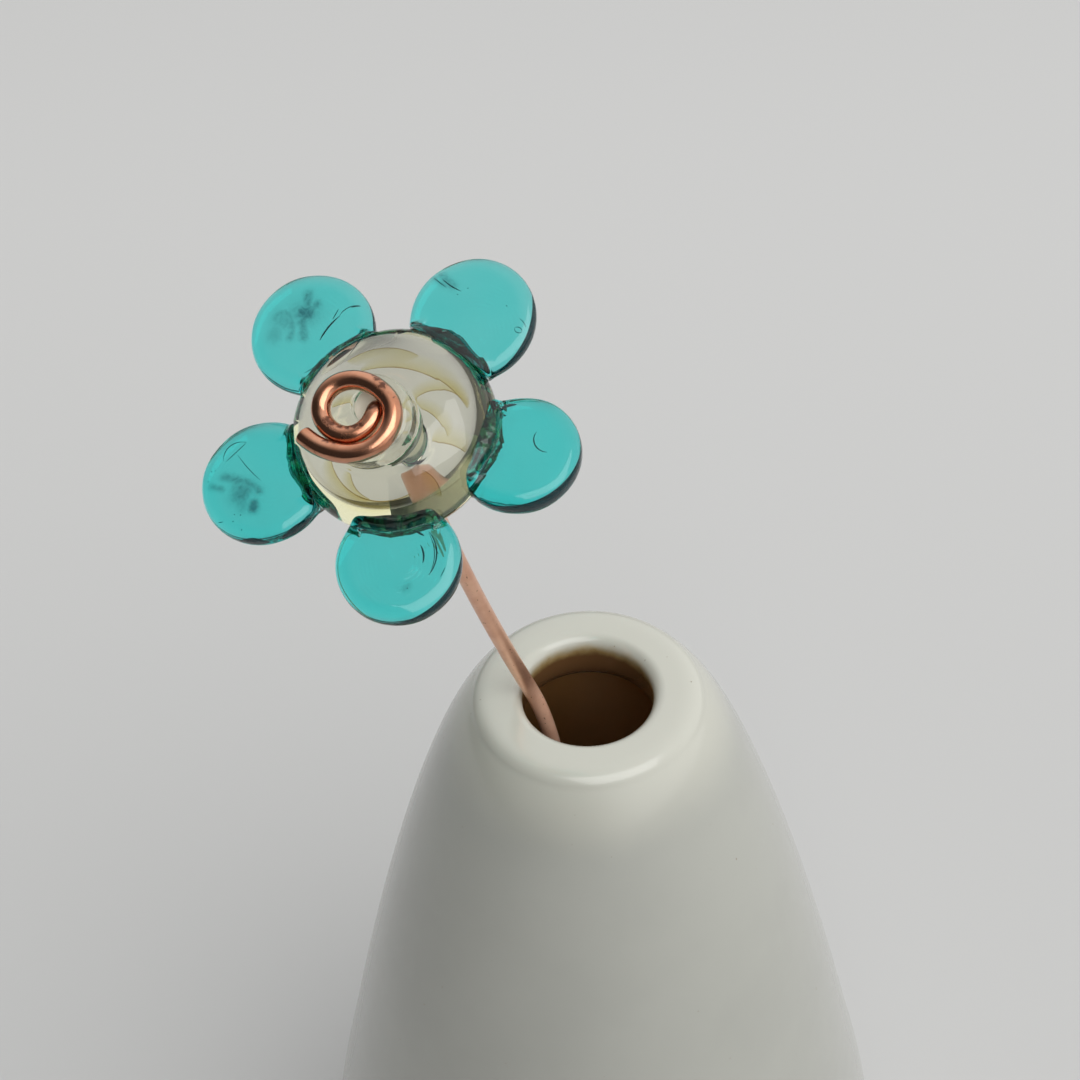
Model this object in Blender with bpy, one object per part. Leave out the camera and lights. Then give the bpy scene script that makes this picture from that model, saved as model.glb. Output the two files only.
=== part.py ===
"""A glass daisy on a copper wire stem, standing in a small bud vase.

Metres, +Z up.  The origin is the centre of the vase's flat base.  The bead and its petals are
modelled in the flower's own frame, whose +Z is the bead's bore, and then placed on the stem.
"""

import math

import bmesh
import bpy
import numpy as np
from mathutils import Matrix, Vector

MM = 0.001
GAP = 0.3 * MM  # left between pieces that touch, or that are fused in the real flower

# Vase: slip-cast, widest low down, with a thick rolled lip round a small mouth
VASE_HEIGHT = 120 * MM
BASE_RADIUS = 25 * MM
FOOT_ROUNDING = 1.6 * MM
FOOT_SWEEP = Vector((3.6, 8.0)) * MM  # how the side leaves the foot
BELLY_RADIUS = 34 * MM
BELLY_HEIGHT = 30 * MM
BELLY_SWEEP = 12 * MM
FLANK_RADIUS = 29.5 * MM
FLANK_HEIGHT = 60 * MM
FLANK_SLOPE = 0.211
FLANK_SWEEP_DOWN = 9 * MM
FLANK_SWEEP_UP = 25.8 * MM
SHOULDER_RADIUS = 11.8 * MM
SHOULDER_DROP = 1.2 * MM
SHOULDER_SLOPE = 0.88
SHOULDER_SWEEP = 5.7 * MM
LIP_WIDTH = 2.9 * MM  # from the shoulder in to the lip's crown
MOUTH_RADIUS = 6.6 * MM
MOUTH_ROUNDING = 1.3 * MM
MOUTH_DEPTH = 5 * MM  # of the straight part below the lip
WALL = 4.2 * MM
FLOOR = 5 * MM
FLOOR_ROUNDING = 6 * MM
VASE_SEGMENTS = 48

# Copper wire: foot on the vase's floor, leaning on the lip, through the bead, and coiled in front
WIRE_RADIUS = 0.8 * MM
WIRE_SIDES_RESOLUTION = 4
FOOT_POINT = Vector((1.4, -2.2, 5.5)) * MM
FOOT_DIRECTION = Vector((-0.12, 0.0, 1.0))
LIP_POINT = Vector((-5.5, 0.3, 119.6)) * MM
LIP_DIRECTION = Vector((-0.323, -0.092, 1.0))
FOOT_REACH = 30 * MM
LIP_REACH_DOWN = 18.8 * MM
LIP_REACH_UP = 23.2 * MM
BEAD_REACH = 6 * MM
STEM_STEPS = 22

# Flower frame
FLOWER_CENTRE = Vector((-15.4, -8.5, 163.8)) * MM
FLOWER_LEAN = math.radians(30.5)
FLOWER_TURN = math.radians(-113.5)

# Bead: an oblate ball with a clear collar round the front of its bore, a little off its centre
BEAD_RADIUS = 8.75 * MM
BEAD_HALF_THICKNESS = 5.0 * MM
BORE_RADIUS = 1.6 * MM
BORE_ROUNDING = 0.15 * MM
COLLAR_CENTRE = Vector((-0.65, -0.85)) * MM
COLLAR_RADIUS = 3.8 * MM
COLLAR_FOOT = 4.2 * MM
COLLAR_FILLET = 0.5 * MM
COLLAR_ROUNDING = 0.8 * MM
COLLAR_TOP = 6.6 * MM
SHOULDER_OF_BEAD = 5.3 * MM
BEAD_SEGMENTS = 40
WIRE_IN_FRONT = Vector((0.45, 0.15)) * MM
WIRE_BEHIND = Vector((-0.43, -0.20)) * MM

# Coil: bent clockwise, its turns laid side by side; one radius for each sixth of a turn
COIL_CENTRE = Vector((-1.34, -0.80)) * MM
COIL_PLANE = COLLAR_TOP + GAP + WIRE_RADIUS
COIL_START = math.radians(-2)
COIL_RADII = [r * MM for r in (1.78, 2.10, 2.19, 2.56, 2.62, 2.80, 3.62, 3.82, 3.90)]
COIL_TAIL_RADIUS = 4.4 * MM
COIL_TAIL_ANGLE = math.radians(34)
COIL_BEND = 1.0 * MM
QUARTER_BEND = 0.55  # handle length of a cubic curve that turns a right angle, over its radius
COIL_STEPS_PER_SIXTH = 5

# Petals: pressed discs, each a little different: angle round the bead, reach of its centre,
# radius, twist about its own length, and droop of its tip
PETAL_THICKNESS = 1.5 * MM
PETAL_ROOT_THICKENING = 0.7 * MM
PETAL_ROOT_LENGTH = 1.5 * MM
PETAL_SEGMENTS = 32
PETAL_RIM_STEPS = 4
PETALS = {
    "petal_bottom": (-90.3, 11.45, 5.20, -6.5, -3.5),
    "petal_right": (-18.3, 10.95, 5.15, -10.5, 1.0),
    "petal_upper_right": (51.3, 11.30, 5.40, 0.0, -0.5),
    "petal_upper_left": (125.8, 11.65, 5.40, 3.0, -0.5),
    "petal_left": (195.6, 11.75, 5.45, 5.5, -3.0),
}

# Colours
GLAZE_WHITE = (0.72, 0.72, 0.66)
COPPER = (0.80, 0.42, 0.29)
CHAMPAGNE = (0.90, 0.88, 0.70)
TEAL = (0.05, 0.50, 0.46)


def clear_scene():
    for obj in list(bpy.data.objects):
        bpy.data.objects.remove(obj, do_unlink=True)


def make_material(name, colour, roughness, metallic=0.0, transmission=0.0):
    material = bpy.data.materials.new(name)
    material.use_nodes = True
    shader = material.node_tree.nodes["Principled BSDF"]
    shader.inputs["Base Color"].default_value = (*colour, 1.0)
    shader.inputs["Roughness"].default_value = roughness
    shader.inputs["Metallic"].default_value = metallic
    shader.inputs["Transmission Weight"].default_value = transmission
    return material


def add_mesh(name, mesh_builder, material=None, matrix=Matrix()):
    """A smooth-shaded object from a bmesh, with its faces turned outwards."""
    bmesh.ops.recalc_face_normals(mesh_builder, faces=mesh_builder.faces)
    mesh = bpy.data.meshes.new(name)
    mesh_builder.to_mesh(mesh)
    mesh_builder.free()
    mesh.shade_smooth()
    mesh.set_sharp_from_angle(angle=math.radians(40))
    if material:
        mesh.materials.append(material)
    obj = bpy.data.objects.new(name, mesh)
    obj.matrix_world = matrix
    bpy.context.scene.collection.objects.link(obj)
    return obj


def cut(obj, cutter):
    """Cuts with a helper object, which is then kept out of the model."""
    modifier = obj.modifiers.new("cut", "BOOLEAN")
    modifier.operation = "DIFFERENCE"
    modifier.solver = "EXACT"
    modifier.object = cutter
    cutter.hide_render = True
    cutter.display_type = "WIRE"


def bezier(start, start_handle, end_handle, end, steps):
    """Points along a cubic curve, without its last one."""
    points = []
    for i in range(steps):
        t = i / steps
        s = 1 - t
        points.append(
            s**3 * start + 3 * s * s * t * start_handle + 3 * s * t * t * end_handle + t**3 * end
        )
    return points


def arc(centre, radius, start, end, steps):
    """Points along an arc, angles in degrees."""
    angles = [math.radians(start + (end - start) * i / steps) for i in range(steps + 1)]
    return [centre + radius * Vector((math.cos(a), math.sin(a))) for a in angles]


# Vase --------------------------------------------------------------------------------------------


def vase_flank():
    """The outer side from the belly up to the shoulder, as (radius, height)."""
    belly = Vector((BELLY_RADIUS, BELLY_HEIGHT))
    belly_handle = belly + Vector((0, BELLY_SWEEP))
    flank = Vector((FLANK_RADIUS, FLANK_HEIGHT))
    upwards = Vector((-FLANK_SLOPE, 1))
    shoulder = Vector((SHOULDER_RADIUS, VASE_HEIGHT - SHOULDER_DROP))
    shoulder_handle = shoulder + SHOULDER_SWEEP * Vector((SHOULDER_SLOPE, -1))
    lower = bezier(belly, belly_handle, flank - FLANK_SWEEP_DOWN * upwards, flank, 4)
    upper = bezier(flank, flank + FLANK_SWEEP_UP * upwards, shoulder_handle, shoulder, 11)
    return lower + upper + [shoulder]


def vase_foot():
    """The outer side from the flat base up to the belly."""
    corner = Vector((BASE_RADIUS, FOOT_ROUNDING))
    rounding = arc(corner, FOOT_ROUNDING, -90, -10, 4)
    start = rounding[-1]
    belly = Vector((BELLY_RADIUS, BELLY_HEIGHT))
    side = bezier(start, start + FOOT_SWEEP, belly - Vector((0, BELLY_SWEEP)), belly, 7)
    return rounding + side[1:]


def vase_lip():
    """The rolled lip, from the shoulder over the crown and down into the mouth."""
    shoulder = Vector((SHOULDER_RADIUS, VASE_HEIGHT - SHOULDER_DROP))
    crown = Vector((SHOULDER_RADIUS - LIP_WIDTH, VASE_HEIGHT))
    shoulder_handle = shoulder + Vector((-0.45, 0.85)) * SHOULDER_DROP
    crown_handle = crown + Vector((LIP_WIDTH / 2, 0))
    outside = bezier(shoulder, shoulder_handle, crown_handle, crown, 5)
    turn = Vector((MOUTH_RADIUS + MOUTH_ROUNDING, VASE_HEIGHT - MOUTH_ROUNDING))
    return outside[1:] + [crown] + arc(turn, MOUTH_ROUNDING, 90, 180, 5)


def vase_inside():
    """The inner side, a wall's thickness inside the flank, from the mouth down to the floor."""
    mouth = Vector((MOUTH_RADIUS, VASE_HEIGHT - MOUTH_DEPTH))
    top = mouth.y - 3 * MM
    wall = [p - Vector((WALL, 0)) for p in vase_foot() + vase_flank()]
    wall = [p for p in wall if FLOOR + FLOOR_ROUNDING < p.y < top]
    last = wall[0]
    corner = Vector((last.x, FLOOR))
    bottom = Vector((last.x - FLOOR_ROUNDING, FLOOR))
    return [mouth] + wall[::-1] + bezier(last, corner, corner, bottom, 5)[1:] + [bottom]


def make_vase():
    """Spins the closed outline about the vase's axis."""
    outline = [Vector((0, 0)), *vase_foot(), *vase_flank(), *vase_lip(), *vase_inside()]
    outline.append(Vector((0, FLOOR)))
    builder = bmesh.new()
    vertices = [builder.verts.new((p.x, 0, p.y)) for p in outline]
    edges = [builder.edges.new(pair) for pair in zip(vertices, vertices[1:])]
    bmesh.ops.spin(
        builder,
        geom=vertices + edges,
        axis=(0, 0, 1),
        cent=(0, 0, 0),
        angle=math.tau,
        steps=VASE_SEGMENTS,
        use_merge=True,
    )
    bmesh.ops.remove_doubles(builder, verts=builder.verts, dist=0.001 * MM)
    return add_mesh("vase", builder, make_material("glazed_ceramic", GLAZE_WHITE, 0.3))


# Flower frame ------------------------------------------------------------------------------------


def flower_matrix():
    """Z along the bore, out of the flower's face; X as level as it can be."""
    lean = Matrix.Rotation(FLOWER_TURN, 3, "Z") @ Matrix.Rotation(FLOWER_LEAN, 3, "Y")
    face = lean @ Vector((0, 0, 1))
    side = (Vector((1, 0, 0)) - face * face.x).normalized()
    frame = Matrix((side, face.cross(side), face)).transposed().to_4x4()
    return Matrix.Translation(FLOWER_CENTRE) @ frame


# Bead --------------------------------------------------------------------------------------------


def make_ball(radius, half_thickness, segments, rings):
    builder = bmesh.new()
    bmesh.ops.create_uvsphere(builder, u_segments=segments, v_segments=rings, radius=1)
    bmesh.ops.scale(builder, vec=(radius, radius, half_thickness), verts=builder.verts)
    return builder


def bead_outline():
    """The glass round the bore: back rim, ball, collar, front rim.

    Each point is a ring's radius and height, and whether the ring follows the collar's centre.
    """
    back = math.asin((BORE_RADIUS + BORE_ROUNDING) / BEAD_RADIUS)
    front = math.pi - math.asin(SHOULDER_OF_BEAD / BEAD_RADIUS)
    turns = [back + (front - back) * i / 16 for i in range(17)]
    ball = [(BEAD_RADIUS * math.sin(t), -BEAD_HALF_THICKNESS * math.cos(t), 0) for t in turns]
    foot = Vector((COLLAR_RADIUS + COLLAR_FILLET, COLLAR_FOOT + COLLAR_FILLET))
    edge = Vector((COLLAR_RADIUS - COLLAR_ROUNDING, COLLAR_TOP - COLLAR_ROUNDING))
    side = arc(foot, COLLAR_FILLET, 270, 180, 3) + arc(edge, COLLAR_ROUNDING, 0, 90, 5)
    collar = [(p.x, p.y, 1) for p in side]
    rim_radius = BORE_RADIUS + BORE_ROUNDING
    front_rim = [(rim_radius, COLLAR_TOP, 0), (BORE_RADIUS, COLLAR_TOP - BORE_ROUNDING, 0)]
    back_rim = [(BORE_RADIUS, ball[0][1] + BORE_ROUNDING, 0)]
    return back_rim + ball + collar + front_rim


def make_bead(matrix):
    """Lofts the outline's rings round the bore, back to where they start."""
    builder = bmesh.new()
    rings = []
    for radius, height, share in bead_outline():
        ring = []
        for i in range(BEAD_SEGMENTS):
            angle = math.tau * i / BEAD_SEGMENTS
            x = COLLAR_CENTRE.x * share + radius * math.cos(angle)
            y = COLLAR_CENTRE.y * share + radius * math.sin(angle)
            ring.append(builder.verts.new((x, y, height)))
        rings.append(ring)
    for lower, upper in zip(rings, rings[1:] + rings[:1]):
        for i in range(BEAD_SEGMENTS):
            j = (i + 1) % BEAD_SEGMENTS
            builder.faces.new((lower[i], lower[j], upper[j], upper[i]))
    glass = make_material("champagne_glass", CHAMPAGNE, 0.03, transmission=1.0)
    return add_mesh("bead", builder, glass, matrix)


# Petals ------------------------------------------------------------------------------------------


def petal_profile(radius):
    """Half of the pressed disc's section: flat faces and a fully rounded rim."""
    half = PETAL_THICKNESS / 2
    flat = [(radius - half) * f for f in (0.3, 0.6, 0.85)]
    rim = arc(Vector((radius - half, 0)), half, 90, -90, 2 * PETAL_RIM_STEPS)
    return [Vector((r, half)) for r in flat] + rim + [Vector((r, -half)) for r in flat[::-1]]


def make_petal_disc(radius, reach):
    """Rings of the section joined round the disc, thickened towards the root."""
    builder = bmesh.new()
    root = BEAD_RADIUS - reach
    profile = petal_profile(radius)
    half = PETAL_THICKNESS / 2

    def thicken(x, z):
        swell = math.exp(-(((x - root) / PETAL_ROOT_LENGTH) ** 2))
        return z * (1 + swell * PETAL_ROOT_THICKENING / half)

    rings = []
    for p in profile:
        ring = []
        for i in range(PETAL_SEGMENTS):
            angle = math.tau * i / PETAL_SEGMENTS
            x, y = p.x * math.cos(angle), p.x * math.sin(angle)
            ring.append(builder.verts.new((x, y, thicken(x, p.y))))
        rings.append(ring)
    for upper, lower in zip(rings, rings[1:]):
        for i in range(PETAL_SEGMENTS):
            j = (i + 1) % PETAL_SEGMENTS
            builder.faces.new((upper[i], upper[j], lower[j], lower[i]))
    for ring, z in ((rings[0], half), (rings[-1], -half)):
        middle = builder.verts.new((0, 0, thicken(0, z)))
        for i in range(PETAL_SEGMENTS):
            builder.faces.new((ring[i], ring[(i + 1) % PETAL_SEGMENTS], middle))
    return builder


def make_petals(matrix):
    glass = make_material("teal_glass", TEAL, 0.03, transmission=1.0)
    seat = make_ball(BEAD_RADIUS + GAP, BEAD_HALF_THICKNESS + GAP, 48, 28)
    cutter = add_mesh("petal_seat", seat, matrix=matrix)
    for name, (angle, reach, radius, twist, droop) in PETALS.items():
        disc = make_petal_disc(radius * MM, reach * MM)
        place = (
            Matrix.Rotation(math.radians(angle), 4, "Z")
            @ Matrix.Translation((reach * MM, 0, 0))
            @ Matrix.Rotation(math.radians(twist), 4, "X")
            @ Matrix.Rotation(math.radians(droop), 4, "Y")
        )
        petal = add_mesh(name, disc, glass, matrix @ place)
        cut(petal, cutter)


# Wire --------------------------------------------------------------------------------------------


def stem_points(behind, through):
    """From the foot, over the lip, to the back of the bead."""
    lip = LIP_DIRECTION.normalized()
    foot = FOOT_DIRECTION.normalized()
    lower = bezier(
        FOOT_POINT,
        FOOT_POINT + FOOT_REACH * foot,
        LIP_POINT - LIP_REACH_DOWN * lip,
        LIP_POINT,
        STEM_STEPS,
    )
    upper = bezier(
        LIP_POINT,
        LIP_POINT + LIP_REACH_UP * lip,
        behind - BEAD_REACH * through,
        behind,
        STEM_STEPS,
    )
    return lower + upper


def coil_radius(sixths):
    """The coil's radius after so many sixths of a turn, eased between the bent radii."""
    radii = COIL_RADII
    i = min(int(sixths), len(radii) - 2)
    t = sixths - i
    before, after = radii[max(i - 1, 0)], radii[min(i + 2, len(radii) - 1)]
    a, b = radii[i], radii[i + 1]
    slope_a, slope_b = (b - before) / 2, (after - a) / 2
    return (
        (2 * t**3 - 3 * t**2 + 1) * a
        + (t**3 - 2 * t**2 + t) * slope_a
        + (3 * t**2 - 2 * t**3) * b
        + (t**3 - t**2) * slope_b
    )


def coil_points():
    """The coil in the flower's frame, running clockwise outwards to its cut end."""
    sixths = len(COIL_RADII) - 1
    steps = sixths * COIL_STEPS_PER_SIXTH
    polar = []
    for k in range(steps + 1):
        along = k / COIL_STEPS_PER_SIXTH
        polar.append((COIL_START - along * math.tau / 6, coil_radius(along)))
    end = COIL_START - sixths * math.tau / 6
    for k in range(1, 5):
        part = k / 4
        grown = COIL_RADII[-1] + (COIL_TAIL_RADIUS - COIL_RADII[-1]) * part**1.5
        polar.append((end - COIL_TAIL_ANGLE * part, grown))
    centre = Vector((*COIL_CENTRE, COIL_PLANE))
    return [centre + Vector((r * math.cos(a), r * math.sin(a), 0)) for a, r in polar]


def make_wire(matrix):
    """One length of wire, from its foot in the vase to the end of the coil."""
    coil = coil_points()
    heading = (coil[1] - coil[0]).normalized()
    front = Vector((*WIRE_IN_FRONT, COIL_PLANE - COIL_BEND))
    behind = Vector((*WIRE_BEHIND, -BEAD_HALF_THICKNESS - GAP))
    through = (front - behind).normalized()
    ease = QUARTER_BEND * COIL_BEND
    bend = bezier(front, front + ease * through, coil[0] - ease * heading, coil[0], 6)
    turn = matrix.to_3x3()
    stem = stem_points(matrix @ behind, turn @ through)
    bore = [matrix @ behind.lerp(front, i / 3) for i in range(3)]
    points = stem + bore + [matrix @ p for p in bend + coil]
    curve = bpy.data.curves.new("copper_wire", "CURVE")
    curve.dimensions = "3D"
    curve.bevel_depth = WIRE_RADIUS
    curve.bevel_resolution = WIRE_SIDES_RESOLUTION
    curve.use_fill_caps = True
    spline = curve.splines.new("POLY")
    spline.points.add(len(points) - 1)
    spline.points.foreach_set("co", np.array([(*p, 1.0) for p in points]).ravel())
    curve.materials.append(make_material("copper", COPPER, 0.25, metallic=1.0))
    wire = bpy.data.objects.new("copper_wire", curve)
    bpy.context.scene.collection.objects.link(wire)
    return wire


def main():
    clear_scene()
    bpy.context.scene.unit_settings.scale_length = 1.0
    make_vase()
    matrix = flower_matrix()
    make_bead(matrix)
    make_petals(matrix)
    make_wire(matrix)


main()
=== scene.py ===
import math

import bpy
import numpy as np
from mathutils import Matrix


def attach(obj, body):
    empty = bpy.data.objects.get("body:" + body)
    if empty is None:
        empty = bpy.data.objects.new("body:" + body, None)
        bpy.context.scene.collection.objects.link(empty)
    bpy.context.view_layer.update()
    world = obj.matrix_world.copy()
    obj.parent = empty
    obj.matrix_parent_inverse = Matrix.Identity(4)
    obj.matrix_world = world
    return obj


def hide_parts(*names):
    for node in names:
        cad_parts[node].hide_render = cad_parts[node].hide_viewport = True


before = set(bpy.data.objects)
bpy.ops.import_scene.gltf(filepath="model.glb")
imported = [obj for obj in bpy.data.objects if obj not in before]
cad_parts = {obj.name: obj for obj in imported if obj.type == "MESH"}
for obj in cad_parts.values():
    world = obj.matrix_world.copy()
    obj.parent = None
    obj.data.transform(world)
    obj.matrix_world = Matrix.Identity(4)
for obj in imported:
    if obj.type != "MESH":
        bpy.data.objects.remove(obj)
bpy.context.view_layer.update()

# Bud vase ----------------------------------------------------------------------------------------
# Slip-cast stoneware, 120 mm tall, with a thick rolled lip round a small mouth.  It is dipped in a
# warm white satin glaze, which thins to a tan line where the mouth turns in; the inside is brown.

MM = 0.001
# The vase's section, in millimetres; a point is a radius and a height
VASE_HEIGHT = 120
FOOT_RADIUS = 25
FOOT_ROUNDING = 1.6
BELLY = np.array([34, 30])
FLANK = np.array([29.5, 60])
SHOULDER = np.array([11.8, 118.8])
CROWN = np.array([8.9, VASE_HEIGHT])
MOUTH_RADIUS = 6.6
MOUTH_ROUNDING = 1.3
WALL = 4.2
FLOOR = 5
LIP_TURN_STEPS = 18


def curve(start, start_handle, end_handle, end, steps):
    """Cubic curve: (1-t)^3 start + 3(1-t)^2 t handle + 3(1-t) t^2 handle + t^3 end, t below 1."""
    t = np.arange(steps)[:, None] / steps
    a, b, c, d = (np.asarray(p, float) for p in (start, start_handle, end_handle, end))
    return (1 - t) ** 3 * a + 3 * (1 - t) ** 2 * t * b + 3 * (1 - t) * t**2 * c + t**3 * d


def arc(centre, radius, start, end, steps):
    """Points on a circle at even angles from start to end, in degrees."""
    angle = np.radians(np.linspace(start, end, steps + 1))
    return np.asarray(centre, float) + radius * np.stack([np.cos(angle), np.sin(angle)], 1)


def turned(profile, sides):
    """Each (radius, height) of the profile goes round the Z axis: x = r cos a, y = r sin a."""
    angle = np.arange(sides) * math.tau / sides
    r, z = profile[:, :1], profile[:, 1:]
    return np.stack([r * np.cos(angle), r * np.sin(angle), z + 0 * angle], 2)


def lengths_along(points):
    """The distance run along a line of points, up to each of them."""
    return np.concatenate([[0], np.cumsum(np.linalg.norm(np.diff(points, axis=0), axis=1))])


def shell(rings, along, loop=False, uv=None):
    """Points, faces and UV corners of a closed surface over rings of points, each a closed loop.

    Four neighbours, two on each of two rings, make a face.  The last ring joins the first where
    loop is true; otherwise each end is closed by faces that meet at the end ring's middle.
    The UV map holds the share of the turn and the distance along, or the pairs given for it.
    """
    count, sides = rings.shape[:2]
    points = rings.reshape(-1, 3)
    if uv is None:
        share = np.arange(sides + 1) / sides
        uv = np.stack(np.broadcast_arrays(share, np.asarray(along)[:, None]), 2)
    else:
        uv = np.concatenate([uv, uv[:, :1]], 1)
    i, j = np.meshgrid(np.arange(count if loop else count - 1), np.arange(sides), indexing="ij")
    i, j = i.ravel(), j.ravel()
    below, above, after = i * sides, (i + 1) % count * sides, (j + 1) % sides
    faces = np.stack([below + j, below + after, above + after, above + j], 1).tolist()
    upper = (i + 1) % count
    corners = np.stack([uv[i, j], uv[i, j + 1], uv[upper, j + 1], uv[upper, j]], 1).reshape(-1, 2)
    if not loop:
        middles = rings[[0, -1]].mean(1)
        points = np.concatenate([points, middles])
        j = np.arange(sides)
        k = (j + 1) % sides
        last = (count - 1) * sides
        start = np.stack([k, j, np.full(sides, count * sides)], 1)
        end = np.stack([last + j, last + k, np.full(sides, count * sides + 1)], 1)
        faces += start.tolist() + end.tolist()
        first_uv = np.stack([uv[0, j + 1], uv[0, j], (uv[0, j] + uv[0, j + 1]) / 2], 1)
        last_uv = np.stack([uv[-1, j], uv[-1, j + 1], (uv[-1, j] + uv[-1, j + 1]) / 2], 1)
        corners = np.concatenate([corners, first_uv.reshape(-1, 2), last_uv.reshape(-1, 2)])
    return points, faces, corners


def build(name, shells, material):
    """One object from one or more closed surfaces, shaded smooth, with its material."""
    points, faces, corners, start = [], [], [], 0
    for shell_points, shell_faces, shell_corners in shells:
        points.append(shell_points)
        faces += [[k + start for k in face] for face in shell_faces] if start else shell_faces
        corners.append(shell_corners)
        start += len(shell_points)
    mesh = bpy.data.meshes.new(name)
    mesh.from_pydata(np.concatenate(points).tolist(), [], faces)
    uv = np.concatenate(corners).astype(np.float32)
    mesh.uv_layers.new(name="surface").data.foreach_set("uv", uv.ravel())
    mesh.shade_smooth()
    mesh.materials.append(material)
    piece = bpy.data.objects.new(name, mesh)
    bpy.context.scene.collection.objects.link(piece)
    return piece


def paint(piece, name, values):
    """Stores one number for each point, for the piece's material to read."""
    layer = piece.data.attributes.new(name, "FLOAT", "POINT")
    values = np.concatenate([values.ravel(), np.zeros(len(layer.data) - values.size)])
    layer.data.foreach_set("value", values.astype(np.float32))


def add(tree, kind, inputs=None, **settings):
    """Adds a node; its inputs are given by name or number, as values or as other nodes' outputs."""
    made = tree.nodes.new(kind)
    for key, value in settings.items():
        setattr(made, key, value)
    for key, value in (inputs or {}).items():
        if isinstance(value, bpy.types.NodeSocket):
            tree.links.new(value, made.inputs[key])
        else:
            made.inputs[key].default_value = value
    return made


def reckon(tree, operation, *values):
    """One Math node's result."""
    return add(tree, "ShaderNodeMath", dict(enumerate(values)), operation=operation).outputs[0]


def fade(tree, value, start, end, low=0.0, high=1.0):
    """Goes smoothly from low to high as the value goes from start to end."""
    inputs = {"Value": value, "From Min": start, "From Max": end, "To Min": low, "To Max": high}
    return add(tree, "ShaderNodeMapRange", inputs, interpolation_type="SMOOTHSTEP").outputs[0]


def blend(tree, share, first, second, mode="MIX"):
    """Mixes two colours."""
    inputs = {0: share, 6: first, 7: second}
    return add(tree, "ShaderNodeMix", inputs, data_type="RGBA", blend_type=mode).outputs[2]


def noise(tree, where, scale, detail=3.0, roughness=0.5, distortion=0.0):
    """Cloudy noise from 0 to 1; a larger scale makes it finer."""
    inputs = {"Vector": where, "Scale": scale, "Detail": detail, "Roughness": roughness}
    inputs["Distortion"] = distortion
    return add(tree, "ShaderNodeTexNoise", inputs).outputs["Fac"]


def finish(name, **values):
    """A material with one Principled shader; the values set its sockets by name."""
    material = bpy.data.materials.new(name)
    material.use_nodes = True
    shader = material.node_tree.nodes["Principled BSDF"]
    for key, value in values.items():
        shader.inputs[key.replace("_", " ")].default_value = value
    return material, material.node_tree, shader


def vase_profile():
    """Half section as (radius, height): foot, flank, lip, and down the inside to the floor.

    The flank is three cubic curves, through the belly and a point half way up; the lip is one
    more and a quarter circle; the inside is the flank moved in by the wall.  Returned beside it:
    the distance along it to the lip's crown, in millimetres.
    """
    foot = arc((FOOT_RADIUS, FOOT_ROUNDING), FOOT_ROUNDING, -90, -10, 10)
    upwards = np.array([-0.211, 1])
    low = curve(foot[-1], foot[-1] + (3.6, 8), BELLY - (0, 12), BELLY, 24)
    middle = curve(BELLY, BELLY + (0, 12), FLANK - 9 * upwards, FLANK, 20)
    high = curve(FLANK, FLANK + 25.8 * upwards, SHOULDER + (5.016, -5.7), SHOULDER, 64)
    lip = curve(SHOULDER, SHOULDER + (-0.54, 1.02), CROWN + (1.45, 0), CROWN, 16)
    turn_centre = (MOUTH_RADIUS + MOUTH_ROUNDING, VASE_HEIGHT - MOUTH_ROUNDING)
    turn = arc(turn_centre, MOUTH_ROUNDING, 90, 180, LIP_TURN_STEPS)
    outside = np.concatenate([foot[:-1], low, middle, high, lip, turn])
    flanks = np.concatenate([low, middle, high])
    inner = flanks[(flanks[:, 1] > 11) & (flanks[:, 1] < 112)][::-1] - (WALL, 0)
    neck = curve((MOUTH_RADIUS, 117), (MOUTH_RADIUS, 112.5), inner[0] + (-2.2, 3.2), inner[0], 14)
    last = inner[-1]
    floor = curve(last, (last[0], FLOOR), (last[0], FLOOR), (last[0] - 6, FLOOR), 8)
    bottom = np.array([[last[0] - 6, FLOOR], [6, FLOOR], [0.5, FLOOR]])
    underside = [(0.5, 0), (12, 0), (24, 0)]
    rings = np.concatenate([underside, outside, neck, inner[:-1], floor, bottom])
    to_crown = lengths_along(outside)[:-LIP_TURN_STEPS][-1] + FOOT_RADIUS - underside[0][0]
    return rings * MM, to_crown


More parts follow.
